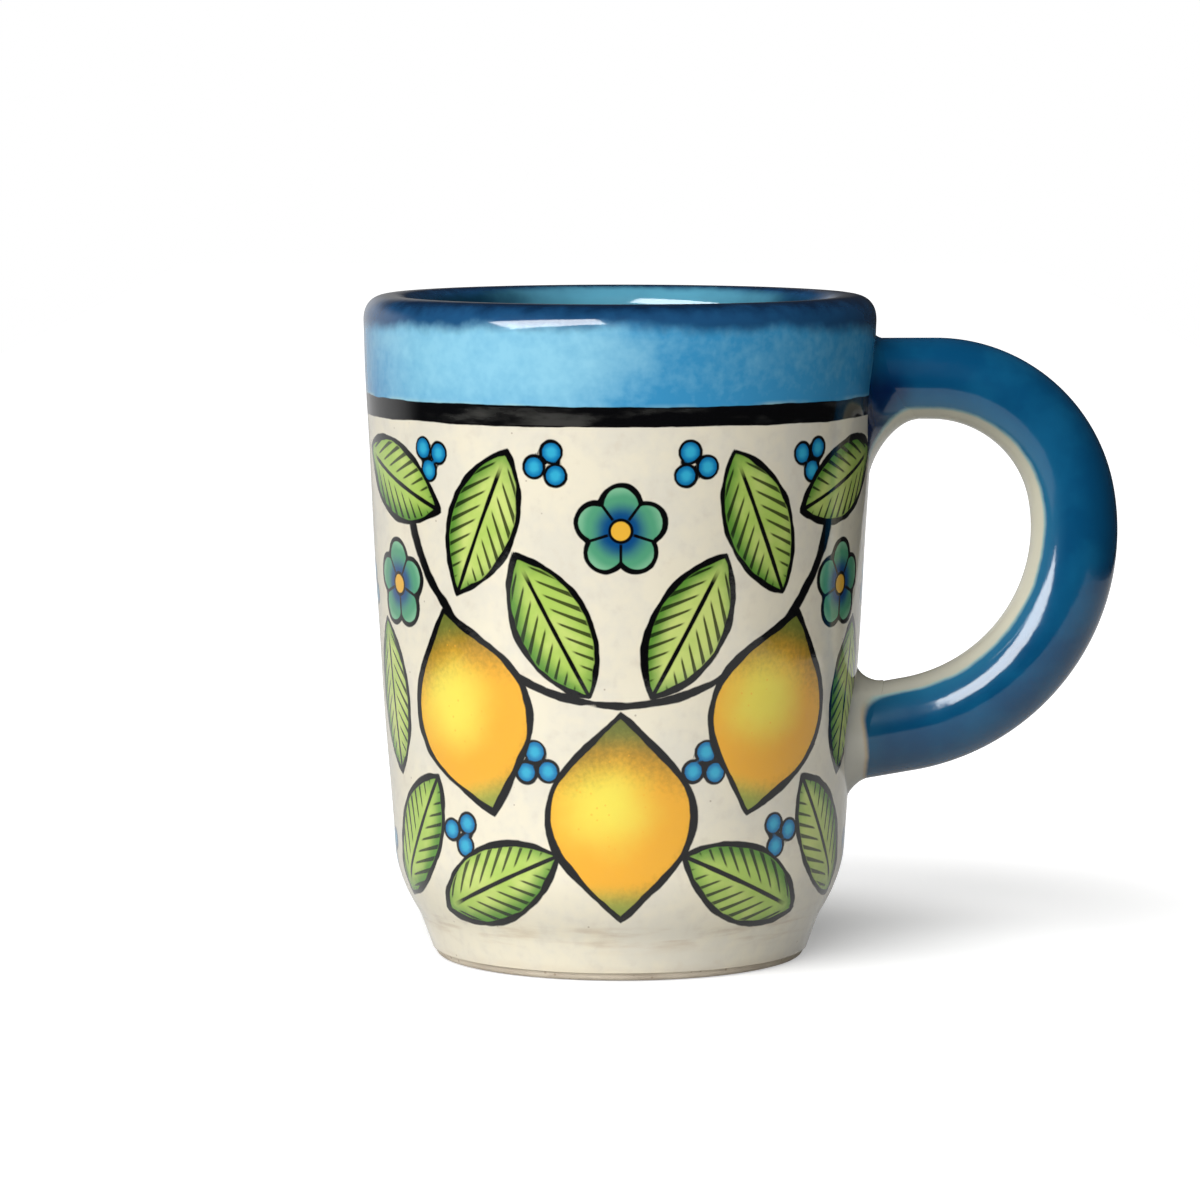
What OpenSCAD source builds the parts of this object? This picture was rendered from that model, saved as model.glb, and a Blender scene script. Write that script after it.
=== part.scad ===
// Hand-painted clay mug: a thrown cup, a pulled ear handle stuck on with slip, and its coats of glaze.
// Millimetres. +Z is up, the origin is the middle of the foot on the table, and the handle points along +X.

/* [Cup] */
// Height of the mug from the table to the top of the lip
mug_h = 108; // [100:1:125]
// Outer radius where the wall meets the lip
rim_r = 41.7; // [39:0.1:46]
// Outer radius at the top of the shoulder curve
shoulder_r = 36.7; // [35:0.1:40]
// Height of the top of the shoulder curve
shoulder_z = 17; // [14:0.5:22]
// How far the wall swells outside a straight taper
belly = 0.4; // [0:0.1:1.2]
// Outer radius of the corner that the shoulder curve rounds off
knee_r = 36.1; // [34.5:0.1:37]
// Height of the corner that the shoulder curve rounds off
knee_z = 12.2; // [9:0.1:13.5]
// Outer radius of the crease above the foot
crease_r = 32.8; // [31:0.1:34]
// Height of the crease above the foot
crease_z = 7; // [5:0.5:8.5]
// Outer radius of the foot
foot_r = 30.6; // [28:0.1:32]
// Radius of the rounded edge under the foot
foot_edge_r = 1; // [0.5:0.1:2]
// Thickness of the wall with its glaze
wall_t = 6.2; // [5:0.1:7.5]
// Thickness of the floor with its glaze
floor_t = 7; // [5:0.1:9]
// Radius of the curve between the inside wall and the floor
corner_r = 9; // [5:0.5:12]
// Radius of the rolled lip in section
lip_r = 4.2; // [3.8:0.1:4.6]
// Height over which the lip's roll fades into the inside wall
lip_fade = 8; // [5:0.5:12]

/* [Handle] */
// Diameter of the glazed rod at the upper end of the handle
rod_top_d = 13.3; // [11:0.1:15]
// Diameter of the glazed rod at the lower end of the handle
rod_end_d = 15.5; // [13:0.1:17]
// Depth of the middle of the rod's upper end below the top of the lip
handle_drop = 13.8; // [12.5:0.1:18]
// Distance from the mug's axis to the middle of the upper bend
bend_x = 51; // [50:0.5:60]
// Radius of the upper bend to the middle of the rod
upper_bend_r = 22.9; // [19:0.1:24]
// Radius of the lower bend to the middle of the rod
lower_bend_r = 32.3; // [29:0.1:34]
// Angle above level where the upper bend passes into the lower one
bend_change = 10.5; // [5:0.5:20]
// Slope of the rod where it comes back down to the wall
tail_slope = 10; // [4:1:14]
// Half angle of the strip that is left bare along the inside of the loop
bare_angle = 45; // [30:1:60]

/* [Slip joints] */
// How far the upper slip ring stands out from the wall
upper_ring_reach = 2; // [1.5:0.1:3]
// How far the web of slip under the upper end stands out from the wall
web_reach = 7.5; // [5:0.1:8]
// How far the middle of that web lies below the middle of the rod
web_drop = 2.5; // [1.5:0.1:3.5]
// How far the lower slip ring stands out from the wall
lower_ring_reach = 3; // [2:0.1:4.5]
// How far the slip stands proud of the rod at the end of a ring
slip_step = 0.3; // [0.2:0.05:0.6]
// How deep the hollow flare of the slip runs into the wall
flare_dip = 0.7; // [0.5:0.05:1.2]

/* [Glaze] */
// Thickness of each coat of glaze
glaze_t = 0.4; // [0.3:0.05:0.6]
// Depth of the black stripe's upper edge below the top of the lip
stripe_drop = 16.1; // [12:0.1:22]
// Width of the black stripe
stripe_w = 2.7; // [1.5:0.1:5]
// Depth of the blue rim coat down the inside, from the top of the lip
inside_band = 14; // [8:0.5:25]
// Height of the unglazed edge at the foot
bare_foot = 1.4; // [1:0.1:3]

/* [Painting] */
// Thickness of the painted fills, which lie in the face of the wall's coat
paint_t = 0.2; // [0.1:0.05:0.25]
// Radius of a painted lemon's round middle
lemon_r = 11.5; // [9:0.1:12.5]
// Length of a painted lemon from tip to tip
lemon_len = 33; // [28:0.5:34]
// Width of the pointed shape that gives a lemon its tips
lemon_tip_w = 16; // [10:0.5:18]
// Length of a painted leaf
leaf_len = 25; // [16:0.5:26]
// Width of a painted leaf
leaf_w = 12; // [8:0.1:12.5]
// Radius of a blossom's petal
petal_r = 3.1; // [2:0.1:3.5]
// Distance from the middle of a blossom to the middle of a petal
petal_reach = 4.1; // [3:0.1:4.6]
// Half the width of the hanging garland, seen square on
garland_r = 33.5; // [30:0.5:34]
// Gap between the garland's lowest point and the tip of the middle lemon
garland_gap = 1.5; // [1.2:0.1:3]
// Width of the garland stem's brush line
garland_w = 1.4; // [0.8:0.1:2]

/* [Hidden] */
$fn = 128;

// The lip is a half circle in section, which stands on top of the wall
lip_z = mug_h - lip_r;
lip_x = rim_r - lip_r;
fade_z = lip_z - lip_fade;
blue_z = mug_h - stripe_drop;
stripe_z = blue_z - stripe_w;
handle_top_z = mug_h - handle_drop;
liner_z = mug_h - inside_band;
// Share of a slip flare's radius that is kept, before its edge grows too thin
flare_spread = 0.8;
petals = 5;
wall_steps = 4;
curve_steps = 6;
edge_steps = 3;

// The rod's middle line: a level run, two bends and a straight tail
bend_z = handle_top_z - upper_bend_r;
bend_step = lower_bend_r - upper_bend_r;
lower_x = bend_x - bend_step * cos(bend_change);
lower_z = bend_z - bend_step * sin(bend_change);
tail_x = lower_x + lower_bend_r * sin(tail_slope);
tail_z = lower_z - lower_bend_r * cos(tail_slope);
lower_end_z = tail_z - (tail_x - wall_r(tail_z)) * tan(tail_slope);
tail_angle = tail_slope - 90;
root = wall_t / 2;
rod_root_x = wall_r(handle_top_z) - root;
tail_root = (tail_x - wall_r(lower_end_z)) / cos(tail_slope) + root;
upper_steps = 8;
lower_steps = 16;
coat_steps = 18;
bare_steps = 6;

// The painting is set out alike on the two sides of the handle.
// Each entry is [degrees round the wall from the middle of the side, share of the painted height, turn].
FRONT = -90;
BACK = 90;
MIDDLE_LEMON = [0, 0.245, 90];
SIDE_LEMON = [-39, 0.44, 105];
MIDDLE_BLOSSOM = [0, 0.8, 90];
SIDE_BLOSSOM = [-62.5, 0.675, 90];
GARLAND = [0, 0.86, 0];
LEAVES = [
    [-62, 0.88, 160], [-33, 0.81, 66], [-16, 0.615, 118],
    [-70, 0.45, 96], [-33.5, 0.105, 205], [-61, 0.18, 236]
];

// The garland is an arc that hangs down to the tip of the middle lemon
garland_sag = painted_z(GARLAND[1]) - painted_z(MIDDLE_LEMON[1]) - lemon_len / 2 - garland_gap;
garland_arc_r = (garland_r * garland_r + garland_sag * garland_sag) / (2 * garland_sag);

function mix(a, b, t) = a + (b - a) * t;
function ease(t) = t * t * (3 - 2 * t);
function wall_part(z) = (z - shoulder_z) / (lip_z - shoulder_z);
function wall_r(z) = mix(shoulder_r, rim_r, wall_part(z)) + belly * sin(180 * wall_part(z));
function inside_r(z) = wall_r(z) - wall_t;
function lens_r(length, width) = (length * length + width * width) / (4 * width);
function painted_z(share) = mix(crease_z, stripe_z, share);
function with_mirrored(entries) = concat(entries, [for (e = entries) [-e[0], e[1], 180 - e[2]]]);
function rod_r(a) = mix(rod_top_d, rod_end_d, (90 - a) / (90 - tail_angle)) / 2;

// Outside of the cup from the table to the lip, drawn in by a coat's thickness
function shoulder_point(t) = [
    mix(mix(crease_r, knee_r, t), mix(knee_r, shoulder_r, t), t),
    mix(mix(crease_z, knee_z, t), mix(knee_z, shoulder_z, t), t)
];
function outside(coat) = concat(
    [for (i = [0 : edge_steps]) let (a = 90 * i / edge_steps)
        [foot_r - foot_edge_r * (1 - sin(a)) - coat, foot_edge_r * (1 - cos(a))]],
    [for (i = [0 : curve_steps]) shoulder_point(i / curve_steps) - [coat, 0]],
    [for (i = [1 : wall_steps]) let (z = mix(shoulder_z, lip_z, i / wall_steps)) [wall_r(z) - coat, z]]
);

// Inside of the cup from the floor to the lip, opened out by a coat's thickness
floor_edge = inside_r(shoulder_z) - corner_r;
wall_start = max(shoulder_z, floor_t + corner_r);
function inside(coat) = concat(
    [for (i = [0 : curve_steps]) let (a = 90 * i / curve_steps)
        [floor_edge + (corner_r + coat) * sin(a), floor_t + corner_r - (corner_r + coat) * cos(a)]],
    [for (i = [1 : wall_steps]) let (z = mix(wall_start, fade_z, i / wall_steps)) [inside_r(z) + coat, z]],
    [for (i = [1 : curve_steps]) let (t = i / curve_steps, z = mix(fade_z, lip_z, t))
        [mix(inside_r(z), lip_x - lip_r, ease(t)) + coat, z]]
);

module outside_section(coat) {
    polygon(concat([[0, 0]], outside(coat), [[0, lip_z]]));
}

module inside_section(coat) {
    polygon(concat([[0, floor_t - coat]], inside(coat), [[0, lip_z]]));
}

module lip_section(coat) {
    intersection() {
        translate([lip_x, lip_z]) circle(lip_r - coat);
        translate([lip_x - rim_r, lip_z]) square([2 * rim_r, lip_r]);
    }
}

// Ring of coat on the outside of the wall between two heights, down to a depth
module outside_coat(low, high, depth) {
    rotate_extrude() intersection() {
        difference() {
            outside_section(0);
            outside_section(depth);
        }
        translate([0, low]) square([2 * rim_r, high - low]);
    }
}

// Ring of coat on the inside of the wall between two heights
module inside_coat(low, high) {
    rotate_extrude() intersection() {
        difference() {
            inside_section(glaze_t);
            inside_section(0);
        }
        translate([0, low]) square([2 * rim_r, high - low]);
    }
}

module lip_coat() {
    rotate_extrude() difference() {
        lip_section(0);
        lip_section(glaze_t);
    }
}

// The cup as one solid lump, bare or glazed, which cuts whatever is stuck to its outside
module cup_lump(coat) {
    rotate_extrude() {
        outside_section(coat);
        lip_section(coat);
    }
}

// Stations along the rod's middle line as [x, z, direction away from the inside of the loop]
STATIONS = concat(
    [[rod_root_x, handle_top_z, 90]],
    [for (i = [0 : upper_steps]) let (a = mix(90, bend_change, i / upper_steps))
        [bend_x + upper_bend_r * cos(a), bend_z + upper_bend_r * sin(a), a]],
    [for (i = [1 : lower_steps]) let (a = mix(bend_change, tail_angle, i / lower_steps))
        [lower_x + lower_bend_r * cos(a), lower_z + lower_bend_r * sin(a), a]],
    [[tail_x - tail_root * cos(tail_slope), tail_z - tail_root * sin(tail_slope), tail_angle]]
);

// Angles round the rod from the inside of the loop: first the glazed part, then the bare strip
COAT_ANGLES = [for (i = [0 : coat_steps]) mix(bare_angle, 360 - bare_angle, i / coat_steps)];
BARE_ANGLES = [for (i = [1 : bare_steps - 1]) mix(-bare_angle, bare_angle, i / bare_steps)];

function around(station, r, angles) = [for (b = angles) [
    station[0] - r * cos(b) * cos(station[2]),
    r * sin(b),
    station[1] - r * cos(b) * sin(station[2])
]];
function backwards(list) = [for (i = [len(list) - 1 : -1 : 0]) list[i]];

// Skins a row of rings that each have the same number of points
module skin(rings) {
    n = len(rings[0]);
    last = len(rings) - 1;
    polyhedron(
        points = [for (ring = rings) each ring],
        faces = concat(
            [[for (j = [0 : n - 1]) j], [for (j = [n - 1 : -1 : 0]) last * n + j]],
            [for (i = [0 : last - 1], j = [0 : n - 1]) [i * n + j, (i + 1) * n + j, i * n + (j + 1) % n]],
            [for (i = [0 : last - 1], j = [0 : n - 1])
                [(i + 1) * n + j, (i + 1) * n + (j + 1) % n, i * n + (j + 1) % n]]
        ),
        convexity = 6
    );
}

module clay_rod() {
    skin([for (s = STATIONS) around(s, rod_r(s[2]) - glaze_t, concat(COAT_ANGLES, BARE_ANGLES))]);
}

module rod_coat() {
    skin([for (s = STATIONS) concat(
        around(s, rod_r(s[2]), COAT_ANGLES),
        around(s, rod_r(s[2]) - glaze_t, backwards(COAT_ANGLES))
    )]);
}

// Lump of slip with a hollow flare, standing on its Z axis with the wall's face at zero
module slip_flare(end_r, reach) {
    flare_r = reach + flare_dip;
    translate([0, 0, -flare_dip - root]) rotate_extrude() difference() {
        square([end_r + flare_spread * flare_r, root + flare_r]);
        translate([end_r + flare_r, root + flare_r]) circle(flare_r);
    }
}

module upper_slip_lump() {
    translate([wall_r(handle_top_z), 0, handle_top_z]) rotate([0, 90, 0])
        slip_flare(rod_r(90) + slip_step, upper_ring_reach);
    translate([wall_r(handle_top_z), 0, handle_top_z - web_drop]) rotate([0, 90, 0])
        slip_flare(rod_r(90) - web_drop, web_reach);
}

module lower_slip_lump() {
    translate([wall_r(lower_end_z), 0, lower_end_z]) rotate([0, 90 - tail_slope, 0])
        slip_flare(rod_r(tail_angle) + slip_step, lower_ring_reach);
}

module pointed_oval(length, width) {
    r = lens_r(length, width);
    intersection() {
        translate([0, r - width / 2]) circle(r);
        translate([0, width / 2 - r]) circle(r);
    }
}

module lemon_outline() {
    circle(lemon_r);
    pointed_oval(lemon_len, lemon_tip_w);
}

module blossom_outline() {
    circle(petal_reach);
    for (k = [1 : petals]) rotate(k * 360 / petals) translate([petal_reach, 0]) circle(petal_r);
}

module garland_outline() {
    difference() {
        translate([0, garland_arc_r - garland_sag]) circle(garland_arc_r + garland_w / 2);
        translate([0, garland_arc_r - garland_sag]) circle(garland_arc_r - garland_w / 2);
        translate([-2 * garland_arc_r, 0]) square([4 * garland_arc_r, 3 * garland_arc_r]);
    }
}

// Stands an outline at each place of a list, on both sides of the mug, and runs it through the wall
module on_wall(places) {
    for (side = [FRONT, BACK], place = places)
        rotate(side + place[0]) translate([0, 0, painted_z(place[1])]) rotate([90, 0, 90])
            linear_extrude(2 * rim_r) rotate(place[2]) children();
}

module lemon_prisms() {
    on_wall(concat([MIDDLE_LEMON], with_mirrored([SIDE_LEMON]))) lemon_outline();
}

module leaf_prisms() {
    on_wall(with_mirrored(LEAVES)) pointed_oval(leaf_len, leaf_w);
}

module blossom_prisms() {
    on_wall(concat([MIDDLE_BLOSSOM], with_mirrored([SIDE_BLOSSOM]))) blossom_outline();
}

module garland_prisms() {
    on_wall([GARLAND]) garland_outline();
}

// Coat on the painted part of the wall, clear of the slip round the handle's ends
module wall_coat(depth) {
    difference() {
        outside_coat(bare_foot, stripe_z, depth);
        lower_slip_lump();
        upper_slip_lump();
    }
}

module cup_body() {
    color("#c9bfae") rotate_extrude() difference() {
        union() {
            outside_section(glaze_t);
            lip_section(glaze_t);
        }
        inside_section(glaze_t);
    }
}

module handle() {
    color("#d8cfbd") difference() {
        clay_rod();
        cup_lump(glaze_t);
    }
}

module upper_slip_joint() {
    color("#1d5577") difference() {
        upper_slip_lump();
        cup_lump(glaze_t);
        clay_rod();
    }
}

module lower_slip_joint() {
    color("#d8cfbd") difference() {
        lower_slip_lump();
        cup_lump(glaze_t);
        clay_rod();
    }
}

module rim_glaze() {
    color("#3f86b4") difference() {
        union() {
            outside_coat(blue_z, lip_z, glaze_t);
            lip_coat();
            inside_coat(liner_z, lip_z);
        }
        upper_slip_lump();
    }
}

module black_stripe() {
    color("#1a1a1c") difference() {
        outside_coat(stripe_z, blue_z, glaze_t);
        upper_slip_lump();
    }
}

module wall_glaze() {
    color("#e4dccb") difference() {
        wall_coat(glaze_t);
        difference() {
            union() {
                lemon_prisms();
                leaf_prisms();
                blossom_prisms();
                garland_prisms();
            }
            cup_lump(paint_t);
        }
    }
}

module inside_glaze() {
    color("#e4dccb") inside_coat(0, liner_z);
}

module handle_glaze() {
    color("#17567f") difference() {
        rod_coat();
        upper_slip_lump();
        lower_slip_lump();
        cup_lump(0);
    }
}

// The fills lie over one another in this order, from the top: lemons, blossoms, leaves, garland
module painted_lemons() {
    color("#f6bd3c") intersection() {
        wall_coat(paint_t);
        lemon_prisms();
    }
}

module painted_blossoms() {
    color("#2f8f9d") difference() {
        intersection() {
            wall_coat(paint_t);
            blossom_prisms();
        }
        lemon_prisms();
    }
}

module painted_leaves() {
    color("#a4cc58") difference() {
        intersection() {
            wall_coat(paint_t);
            leaf_prisms();
        }
        lemon_prisms();
        blossom_prisms();
    }
}

module painted_garland() {
    color("#1a1a1c") difference() {
        intersection() {
            wall_coat(paint_t);
            garland_prisms();
        }
        lemon_prisms();
        blossom_prisms();
        leaf_prisms();
    }
}

cup_body();
handle();
upper_slip_joint();
lower_slip_joint();
rim_glaze();
black_stripe();
wall_glaze();
inside_glaze();
handle_glaze();
painted_lemons();
painted_blossoms();
painted_leaves();
painted_garland();
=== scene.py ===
# %% [markdown]
# # A hand-painted clay mug
#
# A potter throws the cup on a wheel, trims its foot, pulls a round rod of clay for the handle and sticks
# it on with slip. Then come the coats: clear glaze over a cream ground, a blue rim, a black brush stripe,
# a dipped blue handle, and a painted garland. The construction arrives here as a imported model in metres.
# This lesson dresses it: smooth surfaces made with numpy stand for the plain solids, and node materials
# give the glazes.

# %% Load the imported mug
import math

import bpy
import numpy as np
from mathutils import Euler, Matrix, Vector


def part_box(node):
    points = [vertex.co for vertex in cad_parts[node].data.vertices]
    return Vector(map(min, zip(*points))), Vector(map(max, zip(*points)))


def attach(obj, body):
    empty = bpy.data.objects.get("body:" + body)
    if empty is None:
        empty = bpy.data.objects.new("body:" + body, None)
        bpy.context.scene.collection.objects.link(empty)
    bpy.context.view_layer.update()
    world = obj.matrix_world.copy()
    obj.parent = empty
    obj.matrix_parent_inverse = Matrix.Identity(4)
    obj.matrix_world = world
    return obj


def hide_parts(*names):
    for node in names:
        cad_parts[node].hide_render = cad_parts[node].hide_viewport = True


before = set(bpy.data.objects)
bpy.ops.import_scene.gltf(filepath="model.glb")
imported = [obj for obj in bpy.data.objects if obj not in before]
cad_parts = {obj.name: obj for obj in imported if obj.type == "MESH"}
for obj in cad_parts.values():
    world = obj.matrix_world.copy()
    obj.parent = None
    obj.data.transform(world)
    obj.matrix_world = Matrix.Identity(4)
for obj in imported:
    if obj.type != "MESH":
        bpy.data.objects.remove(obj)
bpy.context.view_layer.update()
print("nodes:", ", ".join(sorted(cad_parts)))

# %% [markdown]
# ## Sizes
#
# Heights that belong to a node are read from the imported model, so a coat made here ends where the solid
# ends. The other sizes are the ones that a potter would measure on the cup. All of them are millimetres,
# and they become metres only when a mesh is made.

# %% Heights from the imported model
MM = 0.001


def corners(node):
    """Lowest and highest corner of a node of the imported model, in millimetres."""
    low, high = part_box(node)
    return np.array(low) / MM, np.array(high) / MM


foot_bare = corners("wall_glaze")[0][2]
stripe_low = corners("black_stripe")[0][2]
stripe_high = corners("black_stripe")[1][2]
liner_top = corners("inside_glaze")[1][2]
lip_top = corners("rim_glaze")[1][2]
rim_r = corners("rim_glaze")[1][1]
print(f"stripe {stripe_low:.1f} to {stripe_high:.1f} mm, lip at {lip_top:.1f} mm, rim radius {rim_r:.1f} mm")

# %% [markdown]
# ## The cup's profile
#
# A thrown cup is one curve turned round an axis. A lathe (the Screw modifier) could turn a drawn curve,
# but a function of height is easier to share: the wall, the stripe, the rim and the handle's joints all
# ask it for the same radius. A short moving average softens the crease, as a wet sponge does.

# %% Profile of the outside
glaze_t = 0.4
foot_r, foot_edge_r = 30.6, 1.0
crease_r, crease_z = 32.8, 7.0
knee_r, knee_z = 36.1, 12.2
shoulder_r, shoulder_z = 36.7, 17.0
belly = 0.4
lip_r = 4.2
lip_square = 2.4
lip_z = lip_top - lip_r
lip_x = rim_r - lip_r
crease_soft, soft_reach = 0.7, 2.0
profile_step = 0.05


def blend(a, b, t):
    """Straight mix of a and b, with t from 0 to 1."""
    return a + (b - a) * t


def ease(t):
    """Smooth step from 0 to 1, level at both ends."""
    t = np.clip(t, 0, 1)
    return t * t * (3 - 2 * t)


def outside_table():
    """Radius against height: a quarter circle under the foot, a straight flank up to the crease, a quadratic
    curve round the shoulder, and a wall that leans out and swells by a sine."""
    turn = np.linspace(0, np.pi / 2, 9)
    t = np.linspace(0, 1, 60)
    knee = (2 * t * (1 - t), (1 - t) ** 2, t ** 2)
    radius = np.concatenate([
        foot_r - foot_edge_r * (1 - np.sin(turn)),
        knee[0] * knee_r + knee[1] * crease_r + knee[2] * shoulder_r,
        blend(shoulder_r, rim_r, t[1:]) + belly * np.sin(np.pi * t[1:]),
    ])
    height = np.concatenate([
        foot_edge_r * (1 - np.cos(turn)),
        knee[0] * knee_z + knee[1] * crease_z + knee[2] * shoulder_z,
        blend(shoulder_z, lip_z, t[1:]),
    ])
    even = np.arange(0, lip_z, profile_step)
    rough = np.interp(even, height, radius)
    reach = np.arange(-soft_reach, soft_reach + profile_step, profile_step)
    weight = np.exp(-(reach / crease_soft) ** 2)
    padded = np.pad(rough, len(reach) // 2, mode="reflect", reflect_type="odd")
    soft = np.convolve(padded, weight / weight.sum(), mode="valid")
    share = ease((even - 2 * foot_edge_r) / 2)
    return even, blend(rough, soft, share)


table_z, table_r = outside_table()


def outside_r(z):
    """Outer radius of the glazed cup at a height."""
    return np.interp(z, table_z, table_r)


print(f"outer radius {outside_r(20):.2f} mm low on the wall and {outside_r(90):.2f} mm at the stripe")

# %% Profile of the inside and the lip
wall_t, floor_t, corner_r = 6.2, 7.0, 9.0
lip_fade = 8.0


def inside_r(z):
    """Inner radius at a height: a wall's thickness inside the outside, drawn in to the lip at the top."""
    roll = ease((z - lip_z + lip_fade) / lip_fade)
    return blend(outside_r(z) - wall_t, lip_x - lip_r, roll)


def lip_points(tilt):
    """Half a superellipse over the lip, squarer than a circle: |x/r|^n + |z/r|^n = 1. A tilt of 0 faces out,
    90 degrees up, and 180 degrees faces in."""
    across = np.sign(np.cos(tilt)) * np.abs(np.cos(tilt)) ** (2 / lip_square)
    up = np.sin(tilt) ** (2 / lip_square)
    return lip_x + lip_r * across, lip_z + lip_r * up


print(f"inside radius {inside_r(40):.1f} mm at half height, {inside_r(lip_z):.1f} mm at the lip")

# %% [markdown]
# ## From rings to a mesh
#
# Every piece below is a row of rings with the same number of points: round the axis for the coats, along
# the rod for the handle. One function skins such rings. It either joins the last ring to the first, which
# makes a shell with a thickness, or closes each end with a fan. The signed volume tells whether the faces
# look outwards, so no piece can come out inside out.

# %% Skin rings with faces
sharp_angle = math.radians(50)


def face_rows(sections, points, loop):
    """Corner numbers of the quads between neighbouring rings."""
    here = np.arange(sections if loop else sections - 1)[:, None] * points
    there = (here + points) % (sections * points)
    column = np.arange(points)
    beside = np.roll(column, -1)
    corner = [here + column, here + beside, there + beside, there + column]
    return np.stack(corner, axis=-1).reshape(-1, 4)


def end_fans(sections, points):
    """Triangles that close the first and the last ring, each round an added middle point."""
    column = np.arange(points)
    beside = np.roll(column, -1)
    middle = np.full(points, sections * points)
    end = (sections - 1) * points
    fans = [[middle, beside, column], [middle + 1, end + column, end + beside]]
    return np.concatenate([np.stack(fan, axis=-1) for fan in fans])


def skin(name, rings, loop=False, **marks):
    """Closed mesh over rings of shape (sections, points, 3) in millimetres. Each mark is an array over
    the same points, of one number or three, that a material reads as an attribute."""
    sections, points = rings.shape[:2]
    vertices = rings.reshape(-1, 3)
    quads = face_rows(sections, points, loop)
    fans = np.empty((0, 3), int) if loop else end_fans(sections, points)
    if not loop:
        vertices = np.concatenate([vertices, rings[[0, -1]].mean(axis=1)])
    halves = np.concatenate([quads[:, [0, 1, 2]], quads[:, [0, 2, 3]], fans])
    a, b, c = (vertices[halves[:, k]] for k in range(3))
    if np.einsum("ij,ij->", a, np.cross(b, c)) < 0:
        quads, fans = quads[:, ::-1], fans[:, ::-1]
    mesh = bpy.data.meshes.new(name)
    mesh.from_pydata((vertices * MM).tolist(), [], quads.tolist() + fans.tolist())
    mesh.shade_smooth()
    mesh.set_sharp_from_angle(angle=sharp_angle)
    for mark, values in marks.items():
        add_mark(mesh, mark, values, rings.shape[:2])
    piece = bpy.data.objects.new(name, mesh)
    bpy.context.scene.collection.objects.link(piece)
    print(f"{name}: {len(vertices)} points, {2 * len(quads) + len(fans)} triangles")
    return piece


def add_mark(mesh, mark, values, shape):
    """Stores a number or a vector at each point. The middle points of the end fans take the mean."""
    wide = values.ndim == 3
    flat = np.broadcast_to(values, shape + values.shape[2:]).reshape((-1, 3) if wide else (-1, 1))
    spare = len(mesh.vertices) - len(flat)
    flat = np.concatenate([flat, np.repeat(flat.mean(axis=0, keepdims=True), spare, axis=0)])
    attribute = mesh.attributes.new(mark, "FLOAT_VECTOR" if wide else "FLOAT", "POINT")
    attribute.data.foreach_set("vector" if wide else "value", flat.astype(np.float32).ravel())


def settle(piece, slot, *nodes):
    """The piece rides on the mug's one body and stands for nodes of the model, which it hides. The slot is
    not used.
    """
    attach(piece, "root")
    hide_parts(*nodes)


# %% [markdown]
# ## Turning the coats
#
# A hand-thrown wall is never quite round. Fingers leave slow waves that climb in a spiral, a tenth of a
# millimetre high, and they make the reflections in the glaze swim a little. A bump map could fake them.
# Here they are part of the shape, so they show from every side, and all coats share them, so no crack
# opens between two coats.

# %% Turn a profile round the axis
ring_steps = 768
wave_high = 0.09


def waves(angle, z):
    """Height of the thrown waves: a slow oval, and a spiral that rises one turn in about 30 mm. Both fade
    out at the foot and below the lip."""
    oval = np.sin(2 * angle + 0.8) + 0.6 * np.sin(3 * angle - z / 26)
    spiral = 0.5 * np.sin(angle - z / 4.8) + 0.35 * np.sin(z / 7.3 + 1.1)
    fade = ease((z - crease_z) / 14) * ease((lip_z - z) / 9)
    return wave_high * fade * (oval + spiral)


def turned(radius, height, steps=ring_steps, wave=1.0):
    """Rings of a turned surface: the profile's radius and height at every angle, with the waves added."""
    angle = np.linspace(0, 2 * np.pi, steps, endpoint=False)[None, :]
    height = np.asarray(height)[:, None]
    radius = np.asarray(radius)[:, None] + wave * waves(angle, height)
    return np.stack([radius * np.cos(angle), radius * np.sin(angle), height + 0 * radius], axis=-1)


def out_and_back(radius, height, depth):
    """Closes a profile into a coat: the face, then the same line sunk by a depth and run backwards."""
    return np.concatenate([radius, (radius - depth)[::-1]]), np.concatenate([height, height[::-1]])


# %% Black stripe
stripe_z = np.linspace(stripe_low, stripe_high, 6)
stripe_rings = turned(*out_and_back(outside_r(stripe_z), stripe_z, glaze_t))
stripe = skin("black_stripe_ring", stripe_rings, loop=True)
settle(stripe, "brush_black", "black_stripe")

# %% Blue rim over the lip
rim_rows = 16
lip_rows = 32


def rim_profile(sunk):
    """Up the outside from the stripe, over the rolled lip and down the inside to the liner."""
    up = np.linspace(stripe_high, lip_z, rim_rows)
    tilt = np.linspace(0, np.pi, lip_rows)[1:-1]
    down = np.linspace(lip_z, liner_top, rim_rows)
    over_r, over_z = lip_points(tilt)
    over_r = over_r - sunk * np.cos(tilt)
    radius = np.concatenate([outside_r(up) - sunk, over_r, inside_r(down) + sunk])
    return radius, np.concatenate([up, over_z - sunk * np.sin(tilt), down])


def from_crest(radius, height):
    """Distance along the profile from the lip's crest, positive down the outside, negative inside."""
    run = np.concatenate([[0], np.cumsum(np.hypot(np.diff(radius), np.diff(height)))])
    return run[np.argmax(height)] - run


face_r, face_z = rim_profile(0)
back_r, back_z = rim_profile(glaze_t)
drop = from_crest(face_r, face_z)
rim_rings = np.concatenate([turned(face_r, face_z), turned(back_r, back_z)[::-1]])
rim_drop = np.concatenate([drop, drop[::-1]])[:, None]
rim = skin("rim_coat", rim_rings, loop=True, drop=rim_drop)
settle(rim, "rim_blue", "rim_glaze")

# %% Cream liner of the inside
ridge_high, ridge_pitch = 0.12, 7.5
hub_r = 0.4


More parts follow.
